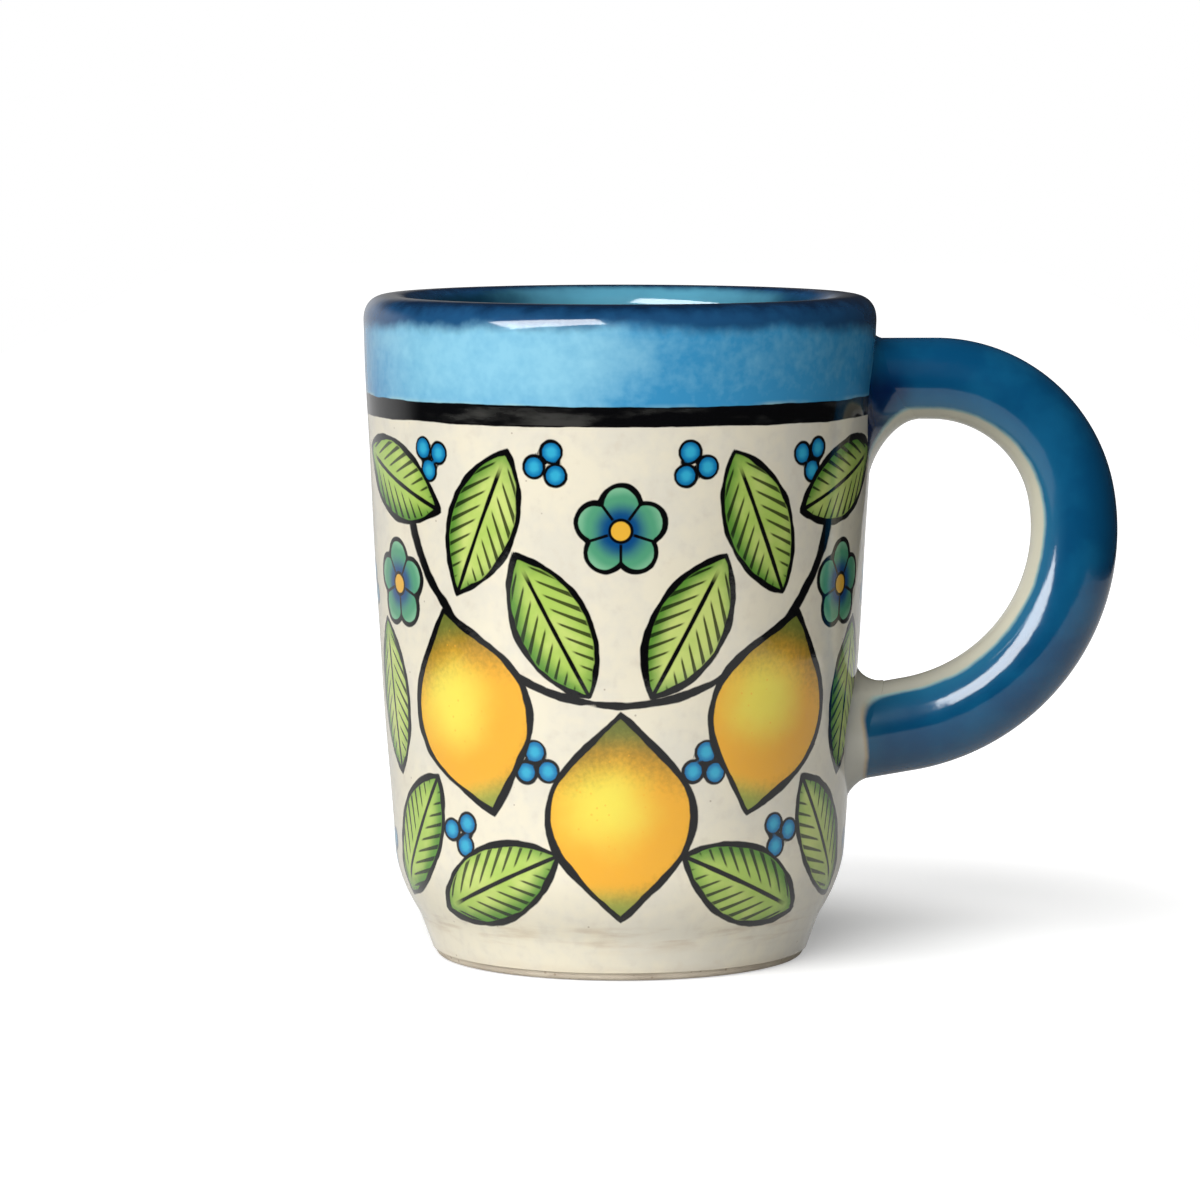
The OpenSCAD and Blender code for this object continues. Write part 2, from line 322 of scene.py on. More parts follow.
def liner_profile(sunk):
    """Across the floor from the axis, round the inside corner and up the wall to the blue rim."""
    floor_edge = inside_r(floor_t + corner_r) - corner_r
    turn = np.linspace(0, np.pi / 2, 20)
    out = np.linspace(hub_r, floor_edge, 16, endpoint=False)
    up = np.linspace(floor_t + corner_r, liner_top, 30)[1:]
    radius = np.concatenate([out, floor_edge + (corner_r + sunk) * np.sin(turn), inside_r(up) + sunk])
    bend = floor_t + corner_r - (corner_r + sunk) * np.cos(turn)
    return radius, np.concatenate([np.full(len(out), floor_t - sunk), bend, up])


def finger_ridges(rings):
    """Spiral left by the fingers inside: a sine of the way along the profile that moves with the angle."""
    radius = np.hypot(rings[..., 0], rings[..., 1])
    angle = np.arctan2(rings[..., 1], rings[..., 0])
    way = radius + rings[..., 2]
    fade = ease((liner_top - rings[..., 2]) / 12) * ease(radius / 8)
    lift = ridge_high * np.sin(way * 2 * np.pi / ridge_pitch + angle) * fade
    level = ease((floor_t + corner_r - rings[..., 2]) / corner_r)[..., None]
    inward = -rings * [1, 1, 0] / np.maximum(radius, 1)[..., None]
    return rings + lift[..., None] * (inward * (1 - level) + level * [0, 0, 1])


liner_face = finger_ridges(turned(*liner_profile(0), wave=0))
liner_back = turned(*liner_profile(glaze_t), wave=0)
liner = skin("inside_liner", np.concatenate([liner_back, liner_face[::-1]]))
settle(liner, "inside_cream", "inside_glaze")

# %% [markdown]
# ## The clay itself
#
# Under the coats is the fired body. Only its foot shows: a narrow bare ring, and a flat underside with the
# rings of the trimming tool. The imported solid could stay, but its underside is plain. A turned profile has
# the rings as real grooves. They are cut up into the clay, so the mug still stands on its lowest edge.

# %% Clay body with a trimmed foot
trim_deep, trim_pitch = 0.25, 2.6
body_steps = 384


def body_profile():
    """From the middle of the underside round the outside, over the lip and back down to the floor, a coat's
    thickness inside the glazed faces. The underside has shallow rings of the trimming tool."""
    under = np.linspace(hub_r, foot_r - foot_edge_r - 1, 60)
    groove = 0.6 + 0.4 * np.cos(under * 2 * np.pi / trim_pitch)
    rings = trim_deep * groove * ease((foot_r - 3 - under) / 2)
    up = np.concatenate([np.linspace(0, foot_bare, 10), np.linspace(foot_bare, lip_z, 40)[1:]])
    tilt = np.linspace(0, np.pi, 14)[1:-1]
    over_r, over_z = lip_points(tilt)
    in_r, in_z = liner_profile(glaze_t)
    down = np.linspace(lip_z, liner_top, 10, endpoint=False)
    over_r = over_r - glaze_t * np.cos(tilt)
    over_z = over_z - glaze_t * np.sin(tilt)
    radius = [under, outside_r(up) - glaze_t, over_r, inside_r(down) + glaze_t, in_r[::-1]]
    return np.concatenate(radius), np.concatenate([rings, up, over_z, down, in_z[::-1]])


body = skin("clay_body", turned(*body_profile(), steps=body_steps, wave=0))
settle(body, "bare_clay", "cup_body")

# %% [markdown]
# ## The handle
#
# A pulled handle is a soft rod that grows thicker towards its lower end. Its middle line is a short level
# run, two bends and a straight tail, so the direction of its outer side is a broken line of the way along
# it. The points come from adding up small steps in that direction. A curve object with a bevel would also
# do, but the rings here can carry marks: how far each point is from the edge of the dipped blue glaze.

# %% Middle line of the handle
rod_top_d, rod_end_d = 13.3, 15.5
handle_z = lip_top - 13.8
bend_x = 51.0
upper_bend_r, lower_bend_r = 22.9, 32.3
bend_change = math.radians(10.5)
tail_slope = math.radians(10)
rod_root = wall_t / 2
way_step, longest_tail = 0.5, 40


def handle_line():
    """Way along the rod, outward direction and points of its middle line, from root to root."""
    start = outside_r(handle_z) - rod_root
    runs = [bend_x - start, upper_bend_r * (math.pi / 2 - bend_change),
            lower_bend_r * (bend_change + math.pi / 2 - tail_slope)]
    knots = np.cumsum([0] + runs)
    outward = [math.pi / 2, math.pi / 2, bend_change, tail_slope - math.pi / 2]
    way = np.arange(0, knots[-1] + longest_tail, way_step)
    angle = np.interp(way, knots, outward)
    middle = angle[:-1] + np.diff(angle) / 2
    x = start + np.concatenate([[0], np.cumsum(np.sin(middle) * way_step)])
    z = handle_z - np.concatenate([[0], np.cumsum(np.cos(middle) * way_step)])
    end = np.argmax((way > knots[2]) & (x < outside_r(z) - rod_root))
    return way[:end], angle[:end], x[:end], z[:end]


way, outward, rod_x, rod_z = handle_line()
rod_share = (np.pi / 2 - outward) / (np.pi - tail_slope)
rod_r = blend(rod_top_d, rod_end_d, rod_share) / 2
from_upper = way - rod_root
from_lower = way[-1] - way - rod_root
rod_reach = (rod_x + rod_r * np.cos(outward)).max()
print(f"handle: {way[-1]:.0f} mm of rod, reaching {rod_reach:.1f} mm from the axis")

# %% Handle rod with the marks of its dip
rod_points = 120
strip_angles = np.radians([45, 38])
strip_turns = 0.25, 0.75
collar_bare = 1.6, 0.0, 2
corner_round = 5.0
coat_step, coat_fade = 0.2, 1.5
pull_wave, pull_oval = 0.006, 0.005


def round_max(a, b, radius):
    """Larger of two distances, with the corner between them rounded off."""
    share = np.clip(0.5 + 0.5 * (a - b) / radius, 0, 1)
    return blend(b, a, share) + radius * share * (1 - share)


def uneven(turn, top, under, power):
    """Length that differs round the rod: a mix of top and underside by (1 - cos(turn)) / 2 to a power. A
    larger power pushes the change downwards."""
    return blend(top, under, ((1 - np.cos(turn)) / 2) ** power)


def past_blue(strip, turn, from_joint):
    """Distance past the edge of the blue: on the bare strip, or near the lower joint, where the edge comes
    closer to the wall underneath. It is negative on the blue."""
    return round_max(strip, uneven(turn, *collar_bare) - from_joint, corner_round)


def side_by_side(*values):
    """Numbers side by side at every point, for a mark of three."""
    return np.stack(np.broadcast_arrays(*values), axis=-1)


around = np.linspace(-np.pi, np.pi, rod_points, endpoint=False)[None, :]
narrowing = ease((rod_share - strip_turns[0]) / (strip_turns[1] - strip_turns[0]))
strip = blend(*strip_angles, narrowing)[:, None] - np.abs(around)
bare = past_blue(strip * rod_r[:, None], around, from_lower[:, None])
dip = side_by_side(bare, from_upper[:, None], from_lower[:, None])
pulled = 1 + pull_wave * np.sin(way / 11)[:, None] + pull_oval * np.cos(2 * around + way[:, None] / 30)
radius = rod_r[:, None] * pulled - coat_step * ease(bare / coat_fade + 0.5)
rod_rings = np.stack([
    rod_x[:, None] - radius * np.cos(around) * np.cos(outward)[:, None],
    radius * np.sin(around),
    rod_z[:, None] - radius * np.cos(around) * np.sin(outward)[:, None],
], axis=-1)
rod = skin("handle_rod", rod_rings, dip=dip)
settle(rod, "handle_blue", "handle", "handle_glaze")

# %% [markdown]
# ## Slip joints
#
# Where the handle meets the wall, the potter smears soft clay into the corner. A union with a bevel would
# give an even fillet, but this one is uneven: thin on top, and drawn far down under the upper end. So each
# joint is its own surface. At every angle round the rod, a curve leaves the rod, bends through the corner
# and runs out flat on the wall.

# %% Slip collars
collar_points = 160
collar_rows = 18
collar_weight = 0.5
collar_sink, collar_root = 0.06, 1.2


def on_wall(start, direction):
    """Moves points along a direction onto the outside of the cup, in a few Newton-like steps."""
    point = start.copy()
    for _ in range(8):
        across = outside_r(point[..., 2]) ** 2 - point[..., 1] ** 2
        miss = np.sqrt(np.maximum(across, 1)) - point[..., 0]
        point = point + (miss / direction[0])[..., None] * direction
    return point


def collar_rings(end, slope, radius, reach, spread):
    """Rings of a slip joint. At each angle a rational quadratic curve runs from the rod, at the reach from
    the wall, through the corner and out on the wall by the spread. The way back lies buried in the clay.
    Reach and spread are each a length on top, a length underneath and a power."""
    turn = np.linspace(0, 2 * np.pi, collar_points, endpoint=False)
    axis = np.array([math.cos(slope), 0, math.sin(slope)])
    upward = [-math.sin(slope), 0, math.cos(slope)]
    across = np.sin(turn)[:, None] * [0, 1, 0] + np.cos(turn)[:, None] * upward
    corner = on_wall(end + (radius - collar_sink) * across, axis)
    on_rod = corner + uneven(turn, *reach)[:, None] * axis
    foot = on_wall(end + (radius + uneven(turn, *spread))[:, None] * across, axis) - collar_sink * axis
    t = np.linspace(0, 1, collar_rows)[:, None, None]
    weights = (1 - t) ** 2, 2 * collar_weight * t * (1 - t), t ** 2
    curve = (weights[0] * on_rod + weights[1] * corner + weights[2] * foot) / sum(weights)
    back, inward = collar_root * axis, collar_root * across
    buried = np.stack([foot - back, corner - back - inward, on_rod - inward])
    share = np.concatenate([t[:, 0, 0], [1, 0.5, 0]])[:, None]
    return np.concatenate([curve, buried]), turn[None, :], share


# %% Upper slip joint
upper_reach = 1.8, 7.5, 1.6
upper_spread = 0.7, 10.2, 1.8
strip_closing = 0.55
wall_border, border_run, border_round = 0.96, 7.0, 0.8
far_joint = 90.0
upper_end = np.array([outside_r(handle_z), 0, handle_z])
upper_rings, upper_turn, upper_t = collar_rings(upper_end, 0.0, rod_top_d / 2, upper_reach, upper_spread)
under_strip = strip_angles[0] * (1 - strip_closing * upper_t) - np.abs(upper_turn - np.pi)
wall_edge = (upper_t - wall_border) * border_run
upper_bare = round_max(under_strip * rod_top_d / 2, wall_edge, border_round)
upper_dip = side_by_side(upper_bare, uneven(upper_turn, *upper_reach) * (1 - upper_t), far_joint)
upper_collar = skin("upper_slip_collar", upper_rings, loop=True, dip=upper_dip)
settle(upper_collar, "handle_blue", "upper_slip_joint")

# %% Lower slip joint
lower_reach = 4.6, 3.2, 1
lower_spread = 3.6, 2.6, 1
lower_x, lower_z = (np.interp(0, from_lower[::-1], line[::-1]) for line in (rod_x, rod_z))
lower_end = np.array([lower_x, 0, lower_z])
lower_rings, lower_turn, _ = collar_rings(lower_end, tail_slope, rod_end_d / 2, lower_reach, lower_spread)
along = (lower_rings - lower_end) @ [math.cos(tail_slope), 0, math.sin(tail_slope)]
over_strip = (strip_angles[1] - np.pi + np.abs(lower_turn - np.pi)) * rod_end_d / 2
lower_dip = side_by_side(past_blue(over_strip, lower_turn, along), far_joint, along)
lower_collar = skin("lower_slip_collar", lower_rings, loop=True, dip=lower_dip)
settle(lower_collar, "cream_clay", "lower_slip_joint")

# %% [markdown]
# ## Setting out the garland
#
# The painting repeats on both sides of the handle: lemons, leaves, blossoms and berries about a hanging
# stem. An image would be the usual way to paint a mug, but a rule stays sharp at any size. For each kind
# of motif, every point of the wall stores its place in the nearest motif and its distance from that
# motif's outline. The material then decides, point by point, what is ink, what is colour and what stays
# bare.

# %% Places of the motifs
paint_low, paint_high = crease_z, stripe_low
lemon_r, lemon_len, lemon_tip_w = 11.5, 33.0, 16.0
leaf_len, leaf_w = 25.0, 12.0
petal_r, petal_reach = 3.1, 4.1
garland_r, garland_gap = 33.5, 1.5
petals = 5
sides = np.radians([-90, 90])
middle_lemon = (0, 0.245, 90)
side_lemon = (-39, 0.44, 105)
middle_blossom = (0, 0.8, 90)
side_blossom = (-62.5, 0.675, 90)
garland_top = 0.86
leaf_places = [(-62, 0.88, 160), (-33, 0.81, 66), (-16, 0.615, 118),
               (-70, 0.45, 96), (-33.5, 0.105, 205), (-61, 0.18, 236)]
berries, berry_r, berry_reach = 3, 1.75, 2.15
berry_places = [(-16.5, 0.925, 70), (-47.5, 0.93, 20), (-20.5, 0.345, 95), (-43, 0.20, 50),
                (-84, 0.66, 80), (-84, 0.14, 30)]


def with_mirrored(places):
    """Each place and its mirror image. A place is degrees from the side's middle, height share and turn."""
    return places + [(-degrees, share, 180 - turn) for degrees, share, turn in places]


def painted_z(share):
    """Height of a share of the painted part of the wall."""
    return blend(paint_low, paint_high, share)


# %% Distances to the motifs' outlines
far_off = 99.0
facing_least = 0.2
golden = 0.618
lemon_melt = 3.0


def local(rings, side, place):
    """Coordinates along and across a motif, as if it lay flat, and how far it faces this point."""
    degrees, share, turn = place
    middle = side + math.radians(degrees)
    tilt = math.radians(turn)
    angle = np.arctan2(rings[..., 1], rings[..., 0]) - middle
    across = np.hypot(rings[..., 0], rings[..., 1]) * np.sin(angle)
    up = rings[..., 2] - painted_z(share)
    u = across * math.cos(tilt) + up * math.sin(tilt)
    v = up * math.cos(tilt) - across * math.sin(tilt)
    return u, v, np.cos(angle)


def pointed_oval(u, v, length=leaf_len, width=leaf_w):
    """Distance from the outline of two equal arcs that meet in points. It is negative inside."""
    arc = (length ** 2 + width ** 2) / (4 * width)
    return np.hypot(u, np.abs(v) + arc - width / 2) - arc


def lemon_outline(u, v):
    """A circle and a pointed oval, melted into one."""
    return -round_max(lemon_r - np.hypot(u, v), -pointed_oval(u, v, lemon_len, lemon_tip_w), lemon_melt)


def discs(u, v, count, reach, size):
    """Round discs about a middle: the nearest one counts, found by folding the angle."""
    sector = 2 * np.pi / count
    angle = np.arctan2(v, u)
    folded = angle - sector * np.round(angle / sector)
    radius = np.hypot(u, v)
    return np.hypot(radius * np.cos(folded) - reach, radius * np.sin(folded)) - size


def blossom_outline(u, v):
    """Round petals, with the gap between them filled."""
    return np.minimum(discs(u, v, petals, petal_reach, petal_r), np.hypot(u, v) - petal_reach)


def berry_outline(u, v):
    """A few berries close together."""
    return discs(u, v, berries, berry_reach, berry_r)


def nearest(rings, outline, places):
    """Place in the nearest motif of a kind, distance from its outline, and a number for each motif."""
    best = np.dstack([np.zeros(rings.shape[:2] + (2,)), np.full(rings.shape[:2], far_off)])
    which = np.zeros(rings.shape[:2])
    for count, (side, place) in enumerate((side, place) for side in sides for place in places):
        u, v, facing = local(rings, side, place)
        distance = np.where(facing > facing_least, outline(u, v), far_off)
        closer = distance < best[..., 2]
        best = np.where(closer[..., None], np.dstack([u, v, distance]), best)
        which = np.where(closer, (count * golden) % 1, which)
    return best, which


def garland_distance(rings):
    """Distance from the stem, an arc that hangs from two points down to the tip of the middle lemon."""
    top = painted_z(garland_top)
    sag = top - painted_z(middle_lemon[1]) - lemon_len / 2 - garland_gap
    arc = (garland_r ** 2 + sag ** 2) / (2 * sag)
    found = np.full(rings.shape[:2], far_off)
    for side in sides:
        across, up, facing = local(rings, side, (0, garland_top, 0))
        ring = np.abs(np.hypot(across, up + sag - arc) - arc)
        hangs = (up < 0.5) & (facing > facing_least)
        found = np.minimum(found, np.where(hangs, ring, far_off))
    return found


# %% Wall coat with the painting's marks
wall_rows, back_rows = 116, 6
wall_z = np.linspace(foot_bare, stripe_low, wall_rows)
keep = np.r_[:wall_rows, np.linspace(wall_rows, 2 * wall_rows - 1, back_rows).astype(int)]
wall_rings = turned(*out_and_back(outside_r(wall_z), wall_z, glaze_t))[keep]
lemon_mark, _ = nearest(wall_rings, lemon_outline, [middle_lemon] + with_mirrored([side_lemon]))
leaf_mark, which = nearest(wall_rings, pointed_oval, with_mirrored(leaf_places))
blossom_mark, _ = nearest(wall_rings, blossom_outline, [middle_blossom] + with_mirrored([side_blossom]))
berry_mark, _ = nearest(wall_rings, berry_outline, with_mirrored(berry_places))
wall = skin("wall_coat", wall_rings, loop=True, lemon=lemon_mark, leaf=leaf_mark, blossom=blossom_mark,
            berry=berry_mark, stem=garland_distance(wall_rings), which=which)
settle(wall, "wall_cream", "wall_glaze",
       "painted_lemons", "painted_leaves", "painted_blossoms", "painted_garland")

# %% [markdown]
# ## Words for materials
#
# A node material is a formula drawn as a graph. Dragging nodes suits a small one, but this painting needs
# dozens, so three small classes let the formula be written as one. A Field is a node's output, and
# arithmetic on fields adds Math nodes. A Graph adds nodes to a material or to the world. A Finish is the
# graph of one material, and knows the few nodes that glazes need.

# %% Fields and graphs
class Field:
    """A number or colour that varies over a surface. Arithmetic on it adds Math nodes."""

    def __init__(self, graph, socket):
        self.graph = graph
        self.socket = socket

    def __add__(self, other):
        return self.graph.math("ADD", self, other)

    def __sub__(self, other):
        return self.graph.math("SUBTRACT", self, other)

    def __mul__(self, other):
        return self.graph.math("MULTIPLY", self, other)

    def __truediv__(self, other):
        return self.graph.math("DIVIDE", self, other)

    def __abs__(self):
        return self.graph.math("ABSOLUTE", self)

    __radd__ = __add__
    __rmul__ = __mul__


class Graph:
    """A node tree under construction."""

    def __init__(self, tree):
        self.tree = tree

    def add(self, kind, inputs, output=0, **options):
        """Adds a node, sets its options, and feeds its inputs with fields or plain values."""
        node = self.tree.nodes.new("ShaderNode" + kind)
        for option, value in options.items():
            setattr(node, option, value)
        for socket, value in inputs.items():
            self.feed(node.inputs[socket], value)
        return Field(self, node.outputs[output])

    def feed(self, socket, value):
        """Links a field to a socket, or sets a plain value on it."""
        if isinstance(value, Field):
            self.tree.links.new(value.socket, socket)
        else:
            socket.default_value = value

    def math(self, operation, a, b=0.0):
        """One operation on one or two numbers."""
        return self.add("Math", {0: a, 1: b}, operation=operation)

    def split(self, vector):
        """The three parts of a vector."""
        node = self.add("SeparateXYZ", {0: vector}).socket.node
        return [Field(self, part) for part in node.outputs]

    def step(self, low, high, value, start=0.0, end=1.0):
        """Smooth step from the start, where the value is low, to the end, where it is high."""
        ends = {0: value, 1: low, 2: high, 3: start, 4: end}
        return self.add("MapRange", ends, interpolation_type="SMOOTHSTEP")

    def level(self, share, a, b):
        """Number a where the share is 0 and b where it is 1."""
        return self.add("Mix", {0: share, 2: a, 3: b})

    def by_ray(self, lighting, mirrored, seen):
        """One level for the rays that light the mug, one for mirror and glass rays, one for the camera."""
        mirror, glass, camera = (self.add("LightPath", {}, output=f"Is {kind} Ray")
                                 for kind in ("Glossy", "Transmission", "Camera"))
        level = self.level(glass, self.level(mirror, lighting, mirrored), mirrored)
        return self.level(camera, level, seen)


# %% Finishes
class Finish(Graph):
    """The graph of one material. Lengths are in millimetres."""

    def __init__(self, name, **settings):
        self.material = bpy.data.materials.new(name)
        self.material.use_nodes = True
        super().__init__(self.material.node_tree)
        self.shader = self.tree.nodes["Principled BSDF"]
        for socket, value in settings.items():
            self.shader.inputs[socket.replace("_", " ")].default_value = value
        self.place = self.add("TexCoord", {}, output="Object")
        self.x, self.y, self.z = (axis / MM for axis in self.split(self.place))

    def mix(self, share, a, b):
        """Colour a where the share is 0 and b where it is 1."""
        a, b = (colour if isinstance(colour, Field) else (*colour, 1) for colour in (a, b))
        return self.add("Mix", {0: share, 6: a, 7: b}, output=2, data_type="RGBA")

    def stretched(self, size, stretch, shift):
        """Object coordinates counted in a size, stretched along the axes and shifted."""
        scale = [1 / (MM * size * k) for k in stretch]
        return self.add("Mapping", {"Vector": self.place, "Scale": scale, "Location": shift})

    def noise(self, size, detail=2.0, stretch=(1, 1, 1), shift=(0, 0, 0)):
        """Cloudy noise from 0 to 1 whose clouds are about the size across."""
        where = self.stretched(size, stretch, shift)
        return self.add("TexNoise", {"Vector": where, "Scale": 1.0, "Detail": detail})

    def wobble(self, size, **options):
        """The same noise, from -0.5 to 0.5."""
        return self.noise(size, **options) - 0.5

    def specks(self, size, radius, share):
        """Round specks: 1 within a radius of a cell's middle, in a share of the cells of a random grid."""
        where = self.stretched(size, (1, 1, 1), (0, 0, 0))
        distance = self.add("TexVoronoi", {"Vector": where, "Scale": 1.0}, output="Distance")
        chance = self.split(Field(self, distance.socket.node.outputs["Color"]))[0]
        round_speck = self.step(radius / size, 0.5 * radius / size, distance)
        return round_speck * self.step(1 - share, 1.01 - share, chance)

    def mark(self, name):
        """A number stored at the points of the piece."""
        return self.add("Attribute", {}, output="Fac", attribute_name=name)

    def marks(self, name):
        """The three numbers of a vector stored at the points of the piece."""
        return self.split(self.add("Attribute", {}, output="Vector", attribute_name=name))

    def relief(self, height, depth):
        """Bump with a depth in millimetres where the height goes from 0 to 1."""
        bump = self.add("Bump", {"Height": height, "Distance": depth * MM, "Strength": 1.0})
        self.feed(self.shader.inputs["Normal"], bump)

    def finish(self, colour, roughness, *pieces):
        """Feeds the shader and gives the material to the pieces."""
        self.feed(self.shader.inputs["Base Color"], colour)
        self.feed(self.shader.inputs["Roughness"], roughness)
        for piece in pieces:
            piece.data.materials.clear()
            piece.data.materials.append(self.material)
        print(f"{self.material.name}: {len(self.tree.nodes)} nodes on {', '.join(p.name for p in pieces)}")


# %% [markdown]
# ## Cream ground
#
# The clay is covered with a cream slip and a clear glaze. It is not one colour: there are warm and cool
# clouds, a brown breath where the glaze pools, and tiny iron specks. The same ground shows on the wall,
# inside the cup and along the inside of the handle. A node group could carry it from one material to the
# next. Here it is a function that each of them calls.

# %% Ground and ink, shared by several materials
glaze_ior = 1.52
warm_cream = (0.80, 0.742, 0.590)
cool_cream = (0.735, 0.695, 0.585)
brown_breath = (0.60, 0.48, 0.33)
iron_speck = (0.30, 0.22, 0.14)
ink = (0.0020, 0.0021, 0.0026)


def cream_ground(f):
    """Clouded cream with a fine grain and a few iron specks."""
    clouds = f.noise(11, detail=4)
    grain = f.noise(2.2, detail=5, shift=(6, 3, 9))
    colour = f.mix(f.step(0.35, 0.68, clouds + 0.5 * (grain - 0.5)), warm_cream, cool_cream)
    colour = f.mix(f.step(0.52, 0.80, grain) * 0.20, colour, brown_breath)
    pooled = f.step(0.60, 0.80, f.noise(19, detail=5, shift=(3, 1, 7)))
    colour = f.mix(pooled * 0.22, colour, brown_breath)
    return f.mix(f.specks(2.4, 0.22, 0.16) * 0.55, colour, iron_speck)


def gloss(f, low=0.05, high=0.11):
    """Roughness of a fired glaze: smooth, with slightly duller clouds."""
    return f.add("MapRange", {0: f.noise(6, detail=3), 1: 0.3, 2: 0.7, 3: low, 4: high})


# %% [markdown]
# ## Painted wall
#
# The painter lays thin colour first and draws round it with a loaded brush. So each motif is a fill that
# fades towards its edge, then ink where the distance from the outline is small. Noise moves the distance a
# little and changes the brush's width, and the ink goes over the colour, never under it.

# %% Brush words
ink_soft = 0.12
fill_soft = 0.15


def loaded_brush(f, distance, width, swell, size=5.0):
    """Ink along a line: 1 within a half width that swells and thins along the way, with a soft edge."""
    half = width + swell * f.wobble(size, detail=1)
    return f.step(half + ink_soft, half - ink_soft, abs(distance))


def shaky(f, distance, amount=0.5, size=3.5):
    """A distance that wavers as a hand does."""
    return distance + amount * f.wobble(size, shift=(5, 2, 1))


def outlined(f, ground, fill, distance, width, swell, **brush):
    """The ground with a fill inside an outline and ink along it."""
    painted = f.mix(f.step(fill_soft, -fill_soft, distance), ground, fill)
    return f.mix(loaded_brush(f, distance, width, swell, **brush), painted, ink)


# %% Leaves
leaf_edge = (0.10, 0.26, 0.035)
leaf_lime = (0.40, 0.57, 0.11)
leaf_light = (0.58, 0.68, 0.20)
vein_step = 2.5


def paint_leaves(f, ground):
    """Lime fill, darker along one edge, with an inked outline, a midrib and veins that taper inwards."""
    u, v, distance = f.marks("leaf")
    distance = shaky(f, distance)
    wash = f.noise(5, detail=5, shift=(9, 4, 2)) + 0.35 * (f.mark("which") - 0.5)
    fill = f.mix(f.step(0.3, 0.75, wash), leaf_lime, leaf_light)
    pooled = f.step(-3.2, 0.6, distance + 0.25 * v + 1.6 * f.wobble(2.5, detail=4))
    fill = f.mix(pooled, fill, leaf_edge)
    rib = loaded_brush(f, v, 0.34, 0.25) * f.step(leaf_len * 0.42, leaf_len * 0.30, u)
    way = (u + 1.1 * abs(v)) / vein_step
    to_vein = abs(f.math("FRACT", way) - 0.5) * (vein_step * 0.67)
    thick = 0.06 + 0.05 * abs(v)
    veins = f.step(thick + 0.12, thick - 0.06, to_vein)
    veins = veins * f.step(0.9, 1.6, abs(v)) * f.step(-0.3, -0.7, distance)
    fill = f.mix(veins * 0.88, fill, ink)
    fill = f.mix(rib, fill, ink)
    return outlined(f, ground, fill, distance, 0.46, 0.9)


# %% Blossoms
petal_green = (0.085, 0.33, 0.185)
petal_pale = (0.22, 0.50, 0.30)
petal_deep = (0.004, 0.065, 0.21)
pollen = (0.80, 0.44, 0.045)
eye_r = 1.75


def paint_blossoms(f, ground):
    """Sea-green petals that deepen to blue in the middle, inked apart, round a yellow eye."""
    u, v, distance = f.marks("blossom")
    distance = shaky(f, distance, 0.35)
    radius = f.math("SQRT", u * u + v * v)
    sector = 2 * math.pi / petals
    folded = abs(f.math("FRACT", f.math("ARCTAN2", v, u) / sector + 1.0) - 0.5) * sector
    fill = f.mix(f.step(5.2, 2.2, shaky(f, radius, 1.0)), petal_green, petal_deep)
    fill = f.mix(f.step(5.2, 7.0, shaky(f, radius, 1.0)), fill, petal_pale)
    apart = f.step(0.34, 0.14, folded * radius) * f.step(1.8, 2.3, radius)
    fill = f.mix(apart, fill, ink)
    fill = f.mix(f.step(eye_r, eye_r - 0.25, radius), fill, pollen)
    fill = f.mix(loaded_brush(f, radius - eye_r, 0.25, 0.15), fill, ink)
    return outlined(f, ground, fill, distance, 0.40, 0.45)


# %% Lemons
lemon_gold = (0.85, 0.42, 0.030)
lemon_light = (0.86, 0.72, 0.085)
lemon_olive = (0.09, 0.10, 0.018)
tip_lime = (0.36, 0.52, 0.10)


def paint_lemons(f, ground):
    """Light middle, golden edge, lime tips, an olive breath at the stem's end, pores and an outline."""
    u, v, distance = f.marks("lemon")
    distance = shaky(f, distance)
    middle = f.math("SQRT", (u - 2.0) * (u - 2.0) + (v - 2.5) * (v - 2.5))
    glow = f.step(12.5, 3.5, middle + f.noise(6, detail=4) * 4)
    fill = f.mix(glow, lemon_gold, lemon_light)
    fill = f.mix(f.step(10.0, 15.5, abs(u)) * 0.9, fill, tip_lime)
    spray = f.wobble(0.7)
    breath = f.step(5.0, 15.5, u + 0.35 * abs(v) + 5 * spray)
    breath = breath + f.step(13.0, 17.0, middle + 3 * spray) * 0.5
    fill = f.mix(breath * 0.85, fill, lemon_olive)
    fill = f.mix(f.specks(1.5, 0.24, 0.7) * f.step(-1.5, -3.5, distance) * 0.5, fill, lemon_gold)
    return outlined(f, ground, fill, distance, 0.55, 1.0, size=7)


# %% Berries
berry_blue = (0.006, 0.17, 0.40)
berry_light = (0.035, 0.40, 0.60)


def paint_berries(f, ground):
    """Blue berries, lighter in the middle, with a thin outline."""
    distance = shaky(f, f.marks("berry")[2], 0.35)
    fill = f.mix(f.step(-0.3, -1.3, distance), berry_blue, berry_light)
    return outlined(f, ground, fill, distance, 0.24, 0.3)


# %% Material of the painted wall
foot_brown = (0.50, 0.37, 0.24)

f = Finish("painted_wall_glaze", IOR=glaze_ior)
colour = cream_ground(f)
scratch = f.noise(9, detail=6, stretch=(1, 1, 0.14), shift=(2, 8, 5))
# Browner along the crease above the foot, in streaks.
crease_brown = f.step(3.4, 0.3, abs(f.z - crease_z - 0.4)) * f.step(0.44, 0.72, scratch)
colour = f.mix(crease_brown * 0.5, colour, foot_brown)
# Browner just above the bare foot: partly the glaze's edge over the clay, partly painted contact shadow.
foot_edge_and_contact_shade = f.step(foot_bare + 1.6, foot_bare, f.z + 1.5 * f.wobble(3, detail=3))
colour = f.mix(foot_edge_and_contact_shade * 0.18, colour, foot_brown)
colour = f.mix(loaded_brush(f, shaky(f, f.mark("stem")), 0.62, 0.6), colour, ink)
for paint in (paint_berries, paint_leaves, paint_blossoms, paint_lemons):
    colour = paint(f, colour)
spill = 0.8 * f.noise(9, detail=4, stretch=(1, 1, 4)) - 0.1
colour = f.mix(f.step(-0.05, 0.15, f.z + spill - stripe_low), colour, ink)
